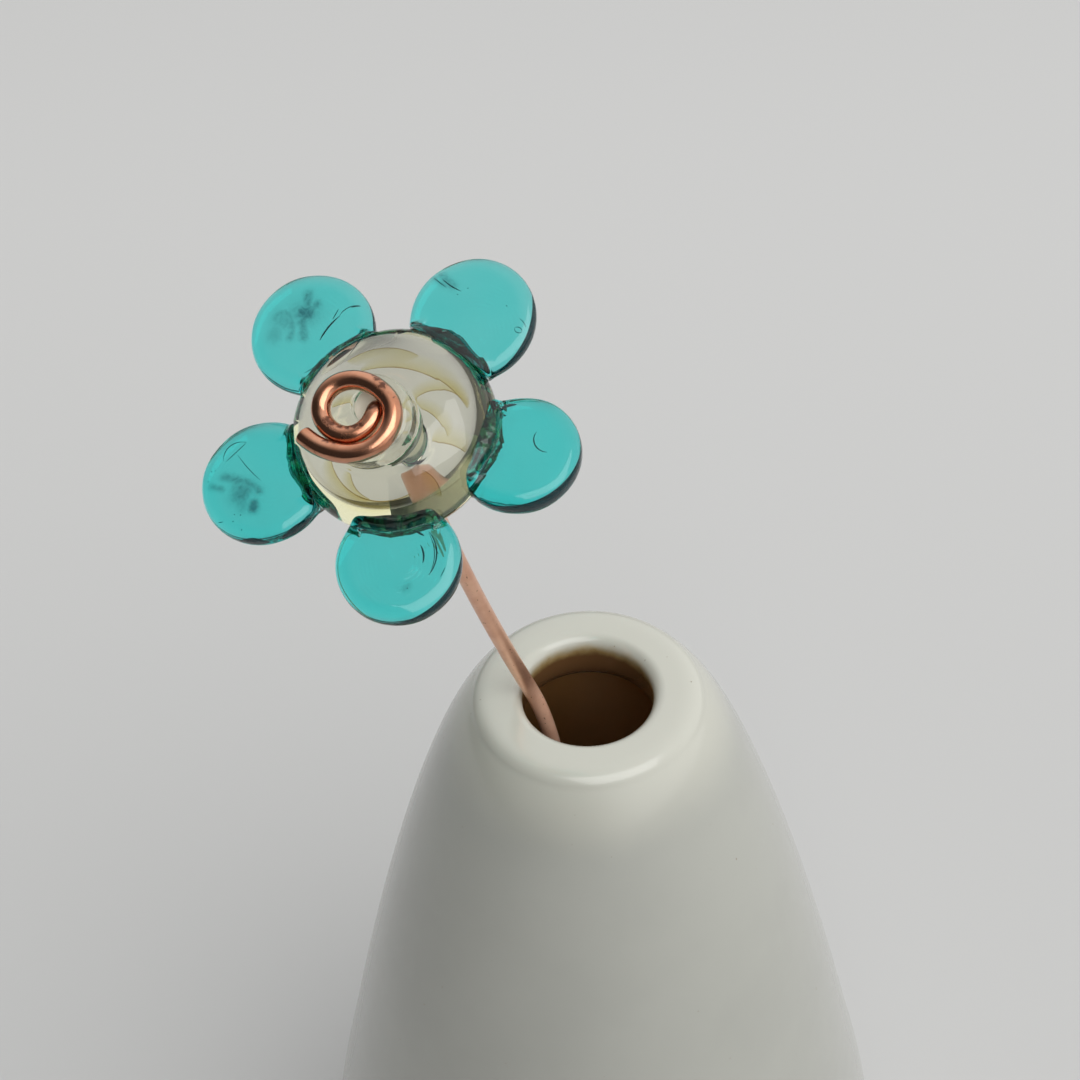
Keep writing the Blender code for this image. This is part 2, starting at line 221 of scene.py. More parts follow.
def white_glaze():
    """White glaze outside, brown inside, told apart by the distance past the lip's crown.

    The white is painted brighter on the lip, as painted light on its upturned top, and greyer down the
    body, as painted shade.
    """
    material, tree, shader = finish("white_glaze", Roughness=0.24, Coat_Weight=0.5)
    shader.inputs["Coat Roughness"].default_value = 0.1
    spot = add(tree, "ShaderNodeTexCoord").outputs
    past = add(tree, "ShaderNodeSeparateXYZ", {0: spot["UV"]}).outputs["Y"]
    height = add(tree, "ShaderNodeSeparateXYZ", {0: spot["Object"]}).outputs["Z"]
    cloud = noise(tree, spot["Object"], 55, 4)
    speck = noise(tree, spot["Object"], 1400, 2)
    # painted shade: the body's greys are set below the lip's white
    body = blend(tree, fade(tree, cloud, 0.3, 0.7), (0.402, 0.405, 0.365, 1), (0.430, 0.433, 0.390, 1))
    ragged = reckon(tree, "MULTIPLY_ADD", cloud, 0.004, height)
    # painted light: from the lip's edge up, the glaze is a brighter white
    white = blend(tree, fade(tree, ragged, 0.1135, 0.1205), body, (0.525, 0.523, 0.458, 1))
    white = blend(tree, fade(tree, speck, 0.76, 0.8), white, (0.32, 0.29, 0.23, 1))
    ragged = reckon(tree, "MULTIPLY_ADD", noise(tree, spot["Object"], 700, 3), 0.0009, past)
    thin = blend(tree, fade(tree, ragged, 0.0016, 0.0030), white, (0.40, 0.29, 0.12, 1))
    brown = blend(tree, cloud, (0.55, 0.28, 0.09, 1), (0.70, 0.37, 0.13, 1))
    brown = blend(tree, fade(tree, past, 0.005, 0.016), (0.15, 0.075, 0.03, 1), brown)
    colour = blend(tree, fade(tree, ragged, 0.0024, 0.0036), thin, brown)
    tree.links.new(colour, shader.inputs["Base Color"])
    swell = noise(tree, spot["Object"], 90, 2)
    orange_peel = noise(tree, spot["Object"], 900, 2)
    height = reckon(tree, "MULTIPLY_ADD", orange_peel, 0.03, swell)
    bump = add(tree, "ShaderNodeBump", {"Strength": 0.06, "Distance": 0.002, "Height": height})
    tree.links.new(bump.outputs[0], shader.inputs["Normal"])
    return material


vase_section, crown_distance = vase_profile()
vase_run = lengths_along(vase_section) - crown_distance * MM
vase = build("vase_glazed", [shell(turned(vase_section, 192), vase_run)], white_glaze())
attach(vase, "root")
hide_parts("vase")

# Copper stem and coil ----------------------------------------------------------------------------
# One length of 1.6 mm round copper wire.  It comes within half a millimetre of the vase's floor and
# lip, passes through the glass bead, and is bent by hand into a flat coil in front.

WIRE_RADIUS = 0.8 * MM
FLOWER_CENTRE = np.array([-15.4, -8.5, 163.8]) * MM
FLOWER_LEAN = math.radians(30.5)
FLOWER_TURN = math.radians(-113.5)
COIL_CENTRE = (-1.34, -0.80)
COIL_RADII = (
    *(1.76, 1.80, 1.92, 2.06, 2.25, 2.54, 2.76, 2.77, 2.65),
    *(2.62, 2.84, 3.35, 3.67, 3.73, 3.62, 3.64, 4.08, 4.9),
)


def flower_axes():
    """Rows are the flower's own X, Y and Z: Z along the bore, X as level as it can be."""
    sideways = math.sin(FLOWER_LEAN)
    face = [sideways * math.cos(FLOWER_TURN), sideways * math.sin(FLOWER_TURN), math.cos(FLOWER_LEAN)]
    face = np.array(face)
    side = np.array([1.0, 0, 0]) - face * face[0]
    side /= np.linalg.norm(side)
    return np.stack([side, np.cross(face, side), face])


FLOWER_AXES = flower_axes()


def on_flower(points):
    """From the flower's own frame, in millimetres, to the object's, in metres."""
    return FLOWER_CENTRE + np.asarray(points) * MM @ FLOWER_AXES


def coil_line():
    """The coil in the flower's frame: a radius for each twelfth of a turn, eased between them.

    Between two of them the radius is Hermite's cubic, its slopes half the difference between the
    neighbours.  The coil rises a little as it goes, so that the outer turn leans on the inner.
    """
    radii = np.array(COIL_RADII)
    padded = np.concatenate([radii[:1], radii, radii[-1:]])
    slopes = (padded[2:] - padded[:-2]) / 2
    turns = np.linspace(0, 16.35, 190)
    i = turns.astype(int)
    t = turns - i
    radius = (2 * t**3 - 3 * t**2 + 1) * radii[i] + (t**3 - 2 * t**2 + t) * slopes[i]
    radius += (3 * t**2 - 2 * t**3) * radii[i + 1] + (t**3 - t**2) * slopes[i + 1]
    angle = math.radians(-30) - turns * math.tau / 12
    rise = np.interp(turns, (0, 12, 16.5), (7.35, 7.8, 7.9))
    x, y = COIL_CENTRE
    return np.stack([x + radius * np.cos(angle), y + radius * np.sin(angle), rise], 1)


def wire_line():
    """From the foot, over the lip, through the bore and round the coil, in metres."""
    front, behind = np.array([0.42, -0.50, 6.0]), np.array([-0.43, -0.20, -5.3])
    through = (front - behind) / np.linalg.norm(front - behind)
    coil = coil_line()
    heading = (coil[1] - coil[0]) / np.linalg.norm(coil[1] - coil[0])
    foot, lip = np.array([1.4, -2.2, 5.5]), np.array([-5.5, 0.3, 119.6])
    foot_way = np.array([-0.12, 0, 1]) / np.linalg.norm([-0.12, 0, 1])
    lip_way = np.array([-0.323, -0.092, 1]) / np.linalg.norm([-0.323, -0.092, 1])
    back, back_way = on_flower(behind) / MM, through @ FLOWER_AXES
    stem = np.concatenate(
        [
            curve(foot, foot + 30 * foot_way, lip - 18.8 * lip_way, lip, 60),
            curve(lip, lip + 23.2 * lip_way, back - 6 * back_way, back, 70),
        ]
    )
    bore = behind + (front - behind) * np.linspace(0, 1, 14)[:-1, None]
    bend = curve(front, front + 1.1 * through, coil[0] - 1.0 * heading, coil[0], 16)
    return np.concatenate([stem * MM, on_flower(np.concatenate([bore, bend, coil]))])


def even_line(points, step):
    """The same line with points a step apart, after three passes that take out its small kinks."""
    for _ in range(3):
        points[1:-1] = (points[:-2] + 2 * points[1:-1] + points[2:]) / 4
    run = lengths_along(points)
    at = np.linspace(0, run[-1], int(run[-1] / step) + 1)
    return np.stack([np.interp(at, run, points[:, k]) for k in range(3)], 1)


def carried_frames(points):
    """Two unit vectors across the line at each point, carried along it without twist."""
    ways = np.gradient(points, axis=0)
    ways /= np.linalg.norm(ways, axis=1)[:, None]
    across = np.empty_like(ways)
    across[0] = np.cross(ways[0], (0, 1, 0) if abs(ways[0, 1]) < 0.9 else (1, 0, 0))
    across[0] /= np.linalg.norm(across[0])
    for k in range(1, len(ways)):
        across[k] = across[k - 1] - ways[k] * (across[k - 1] @ ways[k])
        across[k] /= np.linalg.norm(across[k])
    return across, np.cross(ways, across)


def tube(points, radii, sides):
    """Rings round the line: point + r (cos a across + sin a other); radii are by ring and angle."""
    across, other = carried_frames(points)
    angle = (np.arange(sides) * math.tau / sides)[None, :, None]
    return points[:, None] + radii[:, :, None] * (
        np.cos(angle) * across[:, None] + np.sin(angle) * other[:, None]
    )


def wire_radii(run, sides):
    """Round wire with its ends rounded over, and a few shallow dents left by the pliers.

    A dent is its distance from the wire's end, its angle round the wire, its half length and depth.
    """
    total = run[-1]
    end = np.minimum(run, total - run)
    bevel = 0.25 * MM
    short = bevel - np.minimum(end, bevel)
    radii = WIRE_RADIUS - bevel + np.sqrt(np.clip(bevel**2 - short**2, 0, None))
    angle = np.arange(sides) * math.tau / sides
    radii = np.repeat(radii[:, None], sides, 1)
    dents = (
        (29.5, 1.2, 0.6, 0.05),
        (26.2, 1.9, 0.5, 0.04),
        (19.0, 4.2, 0.5, 0.05),
        (12.4, 1.0, 0.7, 0.05),
        (6.1, 2.2, 0.5, 0.06),
    )
    for before_end, around, size, depth in dents:
        off = (run[:, None] - (total - before_end * MM)) / (size * MM)
        turn = (np.angle(np.exp(1j * (angle - around))) / 0.55)[None]
        radii -= depth * MM * np.exp(-(off**2) - turn**2)
    return radii


def wire_marks(rings):
    """Where the coil is painted dark: one for a mark's middle, falling away.

    Each is given by its place in the flower's frame and its half length, in millimetres.
    """
    marks = (
        (-1.05, -2.15, 8.1, 0.40),
        (-0.55, -2.2, 8.1, 0.35),
        (-1.6, -2.25, 8.1, 0.30),
        (-2.2, -2.1, 8.1, 0.30),
        (-2.9, -1.9, 8.1, 0.50),
        (-3.3, -1.5, 8.2, 0.45),
        (-1.9, -2.9, 7.9, 0.30),
        (1.05, 1.35, 8.3, 0.35),
        (1.45, 0.75, 8.4, 0.45),
        (1.6, 0.2, 8.3, 0.30),
        (-2.6, -3.4, 8.4, 0.35),
        (-3.3, -3.2, 8.4, 0.35),
        (-4.6, -3.3, 8.0, 0.60),
        # painted reflection: this patch at the bend out of the bore stands for a dark reflection
        (0.42, -0.55, 7.9, 0.60),
    )
    dark = np.zeros(rings.shape[:2])
    for x, y, z, size in marks:
        off = np.linalg.norm(rings - on_flower([x, y, z]), axis=2) / (size * MM)
        dark = np.maximum(dark, np.exp(-(off**2)))
    return dark


def bright_copper():
    """Bare copper: bright and warm on the coil, duller down the stem, where it is painted paler as painted
    light, brown in dark patches.
    """
    material, tree, shader = finish("bright_copper", Metallic=1.0, Coat_Weight=0.5)
    shader.inputs["Coat Roughness"].default_value = 0.12
    spot = add(tree, "ShaderNodeTexCoord").outputs
    along = add(tree, "ShaderNodeSeparateXYZ", {0: spot["UV"]}).outputs["Y"]
    coiled = fade(tree, along, 0.150, 0.164)
    stretched = add(tree, "ShaderNodeMapping", {"Vector": spot["UV"], "Scale": (60, 900, 1)})
    lines = noise(tree, stretched.outputs[0], 1.0, 3)
    patches = noise(tree, spot["Object"], 420, 4, 0.6)
    pits = noise(tree, spot["Object"], 2600, 2)
    warm = blend(tree, fade(tree, patches, 0.35, 0.7), (0.64, 0.30, 0.18, 1), (0.52, 0.215, 0.115, 1))
    # painted light: the stem's copper is painted paler than the coil's so that it reads as lit
    stem_colour_painted_light = blend(tree, fade(tree, patches, 0.35, 0.7), (0.88, 0.53, 0.37, 1), (0.78, 0.43, 0.29, 1))
    colour = blend(tree, coiled, stem_colour_painted_light, warm)
    mark = add(tree, "ShaderNodeAttribute", attribute_name="mark").outputs["Fac"]
    grain = noise(tree, spot["Object"], 3200, 5, 0.7)
    marked = fade(tree, reckon(tree, "MULTIPLY_ADD", grain, 2.2, mark), 1.35, 2.0)
    # the patches' dark brown; at the bend out of the bore it is a painted reflection
    colour = blend(tree, marked, colour, (0.13, 0.045, 0.022, 1))
    colour = blend(tree, fade(tree, pits, 0.68, 0.75), colour, (0.25, 0.10, 0.06, 1))
    tree.links.new(colour, shader.inputs["Base Color"])
    rough = fade(tree, patches, 0.3, 0.75, 0.11, 0.24)
    rough = reckon(tree, "MAXIMUM", rough, fade(tree, along, 0.150, 0.164, 0.40, 0.11))
    rough = reckon(tree, "MULTIPLY_ADD", marked, 0.25, rough)
    tree.links.new(rough, shader.inputs["Roughness"])
    tree.links.new(fade(tree, along, 0.1125, 0.119, 0.25, 1.0), shader.inputs["Metallic"])
    height = reckon(tree, "MULTIPLY_ADD", pits, 0.5, lines)
    height = reckon(tree, "MULTIPLY_ADD", marked, -1.5, height)
    bump = add(tree, "ShaderNodeBump", {"Strength": 0.12, "Distance": 0.00006, "Height": height})
    tree.links.new(bump.outputs[0], shader.inputs["Normal"])
    return material


wire_points = even_line(wire_line(), 0.15 * MM)
wire_run = lengths_along(wire_points)
WIRE_SIDES = 40
wire_rings = tube(wire_points, wire_radii(wire_run, WIRE_SIDES), WIRE_SIDES)
wire = build("copper_stem_and_coil", [shell(wire_rings, wire_run)], bright_copper())
paint(wire, "mark", wire_marks(wire_rings))
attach(wire, "root")
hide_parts("copper_wire")

# Glass bead --------------------------------------------------------------------------------------
# Lampworked on a mandrel: nearly clear champagne glass, flattened to 10 mm thick, with a collar of
# the same glass round the front of its bore.  The bore keeps a rough skin of pale release, mostly painted
# grey-green as shade.

BEAD_RADIUS = 8.75
BEAD_HALF_THICKNESS = 5.0
BEAD_SIDES = 256
BALL_RINGS = 90
PLUG_RINGS = 6
BORE_RINGS = 90  # the last ones; the plug's come just before them
BORE_RADIUS = 1.6
COLLAR_SHIFT = (-0.65, -0.85)
WIRE_SHIFT = (0.42, -0.50)


def bead_rings(sides):
    """Rings of (radius, height) round the bore, in the flower's frame and in millimetres.

    They run from the bore's back rim, round the ball r = R sin t, z = -H cos t, up the collar,
    whose rings are moved to its own centre, in to the wire where release plugs the bore's mouth,
    and back down the bore.  The ball's back half is squarer: both terms there have a power of 2/2.2.
    """
    bore, rounding = BORE_RADIUS, 0.3
    start = math.asin(((bore + rounding) / BEAD_RADIUS) ** (2.2 / 2))
    t = np.linspace(start, math.pi - math.asin(5.3 / BEAD_RADIUS), BALL_RINGS)
    flatness = np.where(t < math.pi / 2, 2 / 2.2, 1.0)
    across, root_colour_and_painted_shade = np.sin(t) ** flatness, np.sign(np.cos(t)) * np.abs(np.cos(t)) ** flatness
    ball = np.stack([BEAD_RADIUS * across, -BEAD_HALF_THICKNESS * root_colour_and_painted_shade], 1)
    foot = arc((4.3, 4.7), 0.5, 262, 180, 10)
    edge = arc((3.0, 5.65), 0.8, 0, 90, 12)
    front_rim = arc((bore + rounding, 6.45 - rounding), rounding, 90, 180, 6)
    back_rim = arc((bore + rounding, ball[0, 1] + rounding), rounding, 180, 255, 6)
    down = np.stack([np.full(BORE_RINGS, bore), np.linspace(5.2, ball[0, 1] + 0.7, BORE_RINGS)], 1)
    plug = np.array([(1.6, 5.95), (1.25, 5.9), (0.95, 5.8), (0.92, 5.6), (1.25, 5.4), (1.6, 5.3)])
    outline = np.concatenate([back_rim, ball, foot, edge, front_rim, plug, down])
    before, collar = len(back_rim) + len(ball), len(foot) + len(edge)
    share = np.zeros(len(outline))
    share[before : before + collar] = 1
    to_wire = np.zeros(len(outline))
    to_wire[-BORE_RINGS - PLUG_RINGS : -BORE_RINGS] = (BORE_RADIUS - plug[:, 0]) / 0.68
    angle = np.arange(sides) * math.tau / sides
    r, z = outline[:, :1], outline[:, 1:]
    x = (WIRE_SHIFT[0] * to_wire + COLLAR_SHIFT[0] * share)[:, None] + r * np.cos(angle)
    y = (WIRE_SHIFT[1] * to_wire + COLLAR_SHIFT[1] * share)[:, None] + r * np.sin(angle)
    return np.stack([x, y, z + 0 * x], 2)


def champagne_glass():
    """Clear glass whose depth takes out a little blue."""
    material, tree, _ = finish("champagne_glass", Roughness=0.0, IOR=1.5, Transmission_Weight=1.0)
    tint = add(tree, "ShaderNodeVolumeAbsorption", {"Color": (1.0, 0.975, 0.50, 1), "Density": 40.0})
    tree.links.new(tint.outputs[0], tree.nodes["Material Output"].inputs["Volume"])
    return material


def bore_skin():
    """Rough mandrel release on the bore's wall: pale beige near the back and on the plug, elsewhere
    grey-green as painted shade.

    Its ragged front edge, in the middle of the bead, is a bright green.
    """
    material, tree, shader = finish("bore_skin", Roughness=0.7)
    spot = add(tree, "ShaderNodeTexCoord").outputs
    grain = noise(tree, spot["Object"], 900, 5, 0.6)
    # painted shade: grey-green for the pale release in shade, with the petals' green in it
    colour = blend(tree, fade(tree, grain, 0.35, 0.65), (0.08, 0.13, 0.08, 1), (0.27, 0.35, 0.23, 1))
    height = add(tree, "ShaderNodeAttribute", attribute_name="past_skin").outputs["Fac"]
    beige_release = add(tree, "ShaderNodeAttribute", attribute_name="beige_release").outputs["Fac"]
    colour = blend(tree, beige_release, colour, (0.84, 0.81, 0.66, 1))
    colour = blend(tree, fade(tree, height, -0.7, -0.35), colour, (0.08, 0.60, 0.28, 1))
    colour = blend(tree, fade(tree, height, -0.16, -0.04), colour, (0.55, 0.80, 0.55, 1))
    tree.links.new(colour, shader.inputs["Base Color"])
    return material


bead_points = bead_rings(BEAD_SIDES)
bead_shell = shell(on_flower(bead_points), np.arange(len(bead_points)), loop=True)
bead = build("glass_bead", [bead_shell], champagne_glass())
bead.data.materials.append(bore_skin())
PLUG = slice(-BORE_RINGS - PLUG_RINGS, -BORE_RINGS)
bore_heights = np.repeat(bead_points[-BORE_RINGS:, 0, 2], BEAD_SIDES).reshape(BORE_RINGS, BEAD_SIDES)
bore_turn = np.arange(BEAD_SIDES) * math.tau / BEAD_SIDES
ragged_end = 1.8 * np.cos(bore_turn + 0.98) - 0.6
for size, waves_round, shift in ((0.18, 5, 1), (0.12, 13, 0), (0.07, 31, 0)):
    ragged_end += size * np.sin(waves_round * bore_turn + shift)
skinned = np.zeros(bead_points.shape[:2], np.int32)
skinned[-BORE_RINGS:] = bore_heights < ragged_end
skinned[PLUG] = 1
bead.data.polygons.foreach_set("material_index", skinned.ravel())
past_skin = np.zeros(bead_points.shape[:2])
past_skin[-BORE_RINGS:] = bore_heights - ragged_end
past_skin[PLUG] = -9
paint(bead, "past_skin", past_skin)
beige_release = np.zeros(bead_points.shape[:2])
beige_release[-BORE_RINGS:] = np.clip((-2.9 - bore_heights) / 0.2, 0, 1)
beige_release[-BORE_RINGS:] *= np.clip((bore_heights + 4.1) / 0.15, 0, 1)
beige_release[PLUG] = 1
paint(bead, "beige_release", beige_release)
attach(bead, "root")
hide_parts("bead")

# Veils in the bead -------------------------------------------------------------------------------
# Sheets of amber left between the layers of clear glass as the bead was wound.  Each is thin and
# curved, with a darker line along one edge, and fades out towards the other.

# A veil is its width, its height in the bead, then an arc's start, end and bow.
VEILS = (
    (1.5, 1.7, (-1.9, 4.3), (6.4, 0.3), 1.45),
    (1.2, 1.0, (1.8, 1.1), (6.1, 0.7), 1.2),
    (1.1, 0.4, (1.2, 1.1), (4.3, -1.4), 0.75),
    (-1.6, 1.4, (-4.5, -2.1), (1.5, -5.9), -1.9),
    (-1.0, 0.7, (-3.0, -3.0), (-1.8, -5.6), -0.5),
    (1.7, -0.6, (3.0, -1.5), (5.2, -2.4), 0.2),
    (-1.2, -1.1, (1.9, -3.2), (3.1, -5.2), 0.35),
    (0.9, 2.2, (-4.1, 1.2), (-1.6, 1.45), 0.15),
    (-1.4, 2.3, (-2.9, 5.2), (2.9, 4.9), 0.9),
)
VEIL_HALF_THICKNESS = 0.03


def arc_between(start, end, bow, count=28):
    """Points on the arc from start to end whose middle stands off the chord, to its left, by bow.

    With h = 2 atan(2 bow / chord) and r = chord / (2 sin h), a point lies r sin uh along from the
    chord's middle and r (cos uh - cos h) off it, as u runs from -1 to 1.
    """
    start = np.array(start, float)
    chord = np.array(end, float) - start
    length = np.hypot(*chord)
    turn = 2 * math.atan2(2 * bow, length) or 1e-6
    radius = length / (2 * math.sin(turn))
    share = np.linspace(-1, 1, count)[:, None] * turn
    along = radius * np.sin(share) * chord / length
    off = radius * (np.cos(share) - math.cos(turn)) * np.array([-chord[1], chord[0]]) / length
    return start + chord / 2 + along + off


def ribbon(line, width, half_thickness, taper=0.4, sides=24):
    """Rings of a flattened tube: point + w (cos a - 1) sideways + t sin a along the bore.

    Both swell from nothing to their full size as a power of the sine of the share run along.
    """
    sideways = np.cross(np.gradient(line, axis=0), (0, 0, 1))
    sideways /= np.linalg.norm(sideways, axis=1)[:, None]
    share = lengths_along(line)
    size = (np.sin(math.pi * np.clip(share / share[-1], 0.01, 0.99)) ** taper)[:, None, None]
    angle = np.arange(sides) * math.tau / sides * -np.sign(width)
    across = width / 2 * size * (np.cos(angle)[:, None] - 1) * sideways[:, None]
    return line[:, None] + across + half_thickness * size * np.sin(angle)[:, None] * np.array([0, 0, 1])


def amber_veil():
    """Amber held in clear glass: it only tints, and bends no light."""
    material, tree, shader = finish("amber_veil", Roughness=0.0, IOR=1.0, Transmission_Weight=1.0)
    spot = add(tree, "ShaderNodeTexCoord").outputs
    share = add(tree, "ShaderNodeSeparateXYZ", {0: spot["UV"]}).outputs["X"]
    to_line = reckon(tree, "MULTIPLY", reckon(tree, "ABSOLUTE", reckon(tree, "SUBTRACT", share, 0.5)), 2)
    cloud = noise(tree, spot["Object"], 500, 4, 0.6)
    to_line = reckon(tree, "MULTIPLY_ADD", cloud, 0.14, to_line)
    veil = blend(tree, fade(tree, to_line, 0.15, 0.95), (1, 1, 1, 1), (0.88, 0.825, 0.54, 1))
    line = blend(tree, fade(tree, to_line, 0.89, 0.97), veil, (0.52, 0.38, 0.13, 1))
    tree.links.new(line, shader.inputs["Base Color"])
    return material


veil_shells = []
for width, height, start, end, bow in VEILS:
    points = arc_between(start, end, bow, 72)
    line = np.column_stack([points, np.full(len(points), height)])
    rings = on_flower(ribbon(line, width, VEIL_HALF_THICKNESS))
    veil_shells.append(shell(rings, lengths_along(line)))
veils = build("amber_veils", veil_shells, amber_veil())
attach(veils, "root")

# Petals ------------------------------------------------------------------------------------------
# Five dots of transparent teal glass set round the bead and pressed flat between smooth paddles.
# Each is a disc fused to the bead by a thick, wrinkled root, with folds and soot shut in it.
# The near-black in its root and the dark threads inside parts of its rim are painted shade.

# Angle round the bead, reach of its centre, radius, twist about its own length, droop of its tip
PETALS = {
    "bottom": (-90.3, 11.45, 5.20, -6.5, -3.5),
    "right": (-18.3, 10.95, 5.15, -10.5, 1.0),
    "upper_right": (51.3, 11.30, 5.40, 0.0, -0.5),
    "upper_left": (125.8, 11.65, 5.40, 3.0, -0.5),
    "left": (195.6, 11.75, 5.45, 5.5, -3.0),
}
HALF_THICKNESS = {"bottom": 1.05, "right": 1.15, "upper_right": 0.85, "upper_left": 0.90, "left": 1.0}
# How far the root's collar reaches out from the bead, and how much of it is the paler green, not painted
# near-black shade
COLLAR = {"bottom": 0.42, "right": 0.60, "upper_right": 0.80, "upper_left": 0.40, "left": 0.70}
ROOT_SHADE = {"bottom": 0.48, "right": 0.48, "upper_right": 0.34, "upper_left": 0.52, "left": 0.58}
UV_SPAN = 12  # millimetres across a petal's UV map
RIDGE_PITCH = 0.36  # millimetres
RIDGE_CENTRES = {
    "bottom": (0.0, 0.2),
    "right": (-0.2, 1.0),
    "upper_right": (-1.0, -0.7),
    "upper_left": (0.4, 0.3),
    "left": (-0.6, 0.3),
}


def petal_rings(reach, radius, half, collar, seed, sides=320):
    """Rings from the middle of the back, out round the rim, to the middle of the front.

    A ring's point lies at a share of the way to the outline at its angle.  The outline is the
    disc's circle, cut by the bead's.  At the rim the section is a superellipse, rounder in front
    than behind.  At the root it steps up to a thick, uneven collar of glass that hugs the bead.
    Returned beside them: how far each point belongs to that collar, from 0 to 1.
    """
    rng = np.random.default_rng(seed)
    angle = np.arange(sides) * math.tau / sides
    c, s = np.cos(angle), np.sin(angle)
    under = np.clip((reach * c) ** 2 - reach**2 + BEAD_RADIUS**2, 0, None)
    to_bead = np.where((c < 0) & (under > 0), -reach * c - np.sqrt(under), 99)
    outline = np.minimum(radius, to_bead)
    for _ in range(8):
        outline = (np.roll(outline, 1) + 2 * outline + np.roll(outline, -1)) / 4
    rootness = np.clip((radius - outline) / 0.6, 0, 1)
    rootness = rootness**2 * (3 - 2 * rootness)
    for _ in range(26):
        rootness = (np.roll(rootness, 1) + 2 * rootness + np.roll(rootness, -1)) / 4

    def waves(orders):
        parts = [rng.uniform(0.5, 1) * np.sin(k * angle + rng.uniform(0, math.tau)) for k in orders]
        return sum(parts) / len(parts) ** 0.5

    inwards = 1 - (1 - np.linspace(0.01, 1, 56)) ** 1.6
    turn = np.radians(np.linspace(90, 0, 22))[1:, None]
    back_turn = np.radians(np.linspace(0, -90, 22))[1:-1, None]
    # The front's rim reaches further in than the back's, and has a lower power, so it is rounder
    rows, heights, depths, signs = [], [], [], []
    for sign, reach_in, power, taus in ((1, 1.45, 2.3, turn), (-1, 0.9, 2.9, back_turn)):
        reach_in = reach_in * (1 + 0.12 * waves((1, 2, 3)))
        power = power + 0.35 * waves((1, 2, 4, 7))
        flat = inwards[:, None] * (outline - reach_in)
        depth = reach_in * (1 - np.cos(np.abs(taus)) ** (2 / power))
        height = half * np.sin(np.abs(taus)) ** (2 / power)
        share = inwards[:, None] * np.ones(sides)
        if sign > 0:
            rows += [flat, outline - depth]
            heights += [half + 0 * flat, height]
            depths += [outline * (1 - share), 0 * depth]
            signs += [1 + 0 * flat, np.sin(taus) + 0 * depth]
        else:
            rows += [outline - depth, flat[::-1]]
            heights += [-height, -half + 0 * flat]
            depths += [0 * depth, outline * (1 - share[::-1])]
            signs += [np.sin(taus) + 0 * depth, -1 + 0 * flat]
    rim_r, rim_z, depth, side = (np.concatenate(parts) for parts in (rows, heights, depths, signs))
    edge = collar * (1 + 0.14 * waves((3, 5, 8)) + 0.025 * waves((13, 19, 29)))
    step = np.clip((edge - depth) / 0.25, 0, 1)
    step = step**2 * (3 - 2 * step)
    lumps = 0.035 * waves((9, 14, 23)) * np.exp(-(((depth - 0.4) / 0.25) ** 2))
    swell = step * (0.5 + 0.12 * waves((2, 3, 5, 8)) + lumps + 0.45 * np.clip(1 - depth / edge, 0, 1))
    root_z = side * (half + swell)
    root_r = outline - depth
    hug = BEAD_RADIUS * (1 - np.sqrt(np.clip(1 - (root_z / BEAD_HALF_THICKNESS) ** 2, 0.05, 1)))
    root_r = root_r + (hug + 0.12) * np.exp(-depth / 0.45)
    r = rim_r * (1 - rootness) + root_r * rootness
    z = rim_z * (1 - rootness) + root_z * rootness
    z += 0.03 * side * np.sin(0.9 * r * c + seed) * np.cos(0.8 * r * s + 2 * seed)
    points = np.stack([r * c, r * s, z], 2)
    return points[::-1], (rootness * step)[::-1]


# Crescents of painted shade, dark threads inside the rim: where each starts and ends, in degrees, and its
# width
PAINTED_RIM_SHADE = {
    "bottom": ((-100, 12, 0.48), (140, 185, 0.14)),
    "right": ((-138, 12, 0.58),),
    "upper_right": ((-80, 20, 0.44),),
    "upper_left": ((-45, 30, 0.16),),
    "left": ((-114, -84, 0.42), (-76, -40, 0.42)),
}


RIM_INSET = 0.13


def painted_rim_shade(name, half, start, end, width):
    """A crescent of painted shade: a dark thread inside the rim, between two angles in the flower's frame.
    """
    angle = np.radians(np.linspace(start, end, 60) - PETALS[name][0])
    reach = PETALS[name][2] - RIM_INSET
    line = np.stack([reach * np.cos(angle), reach * np.sin(angle), 0 * angle - 0.1 * half], 1)
    return ribbon(line, width, 0.42 * half, 0.75), lengths_along(line)


SMOKE_SPREAD = 1.35  # the bell curve's width over a wisp's half width


def smoke_at(points, name):
    """How dark the smoke caught under the petal's face is at each point, from 0 to about 1.

    Each wisp is an arc with a half width and a strength, and falls away from it as a bell curve.
    """
    smoke = np.zeros(points.shape[:2])
    for width, strength, start, end, bow in SMOKE.get(name, ()):
        for x, y in arc_between(start, end, bow):
            off = ((points[:, :, 0] - x) ** 2 + (points[:, :, 1] - y) ** 2) / (SMOKE_SPREAD * width) ** 2
            smoke = np.maximum(smoke, strength * np.exp(-off))
    return smoke * (points[:, :, 2] > 0)


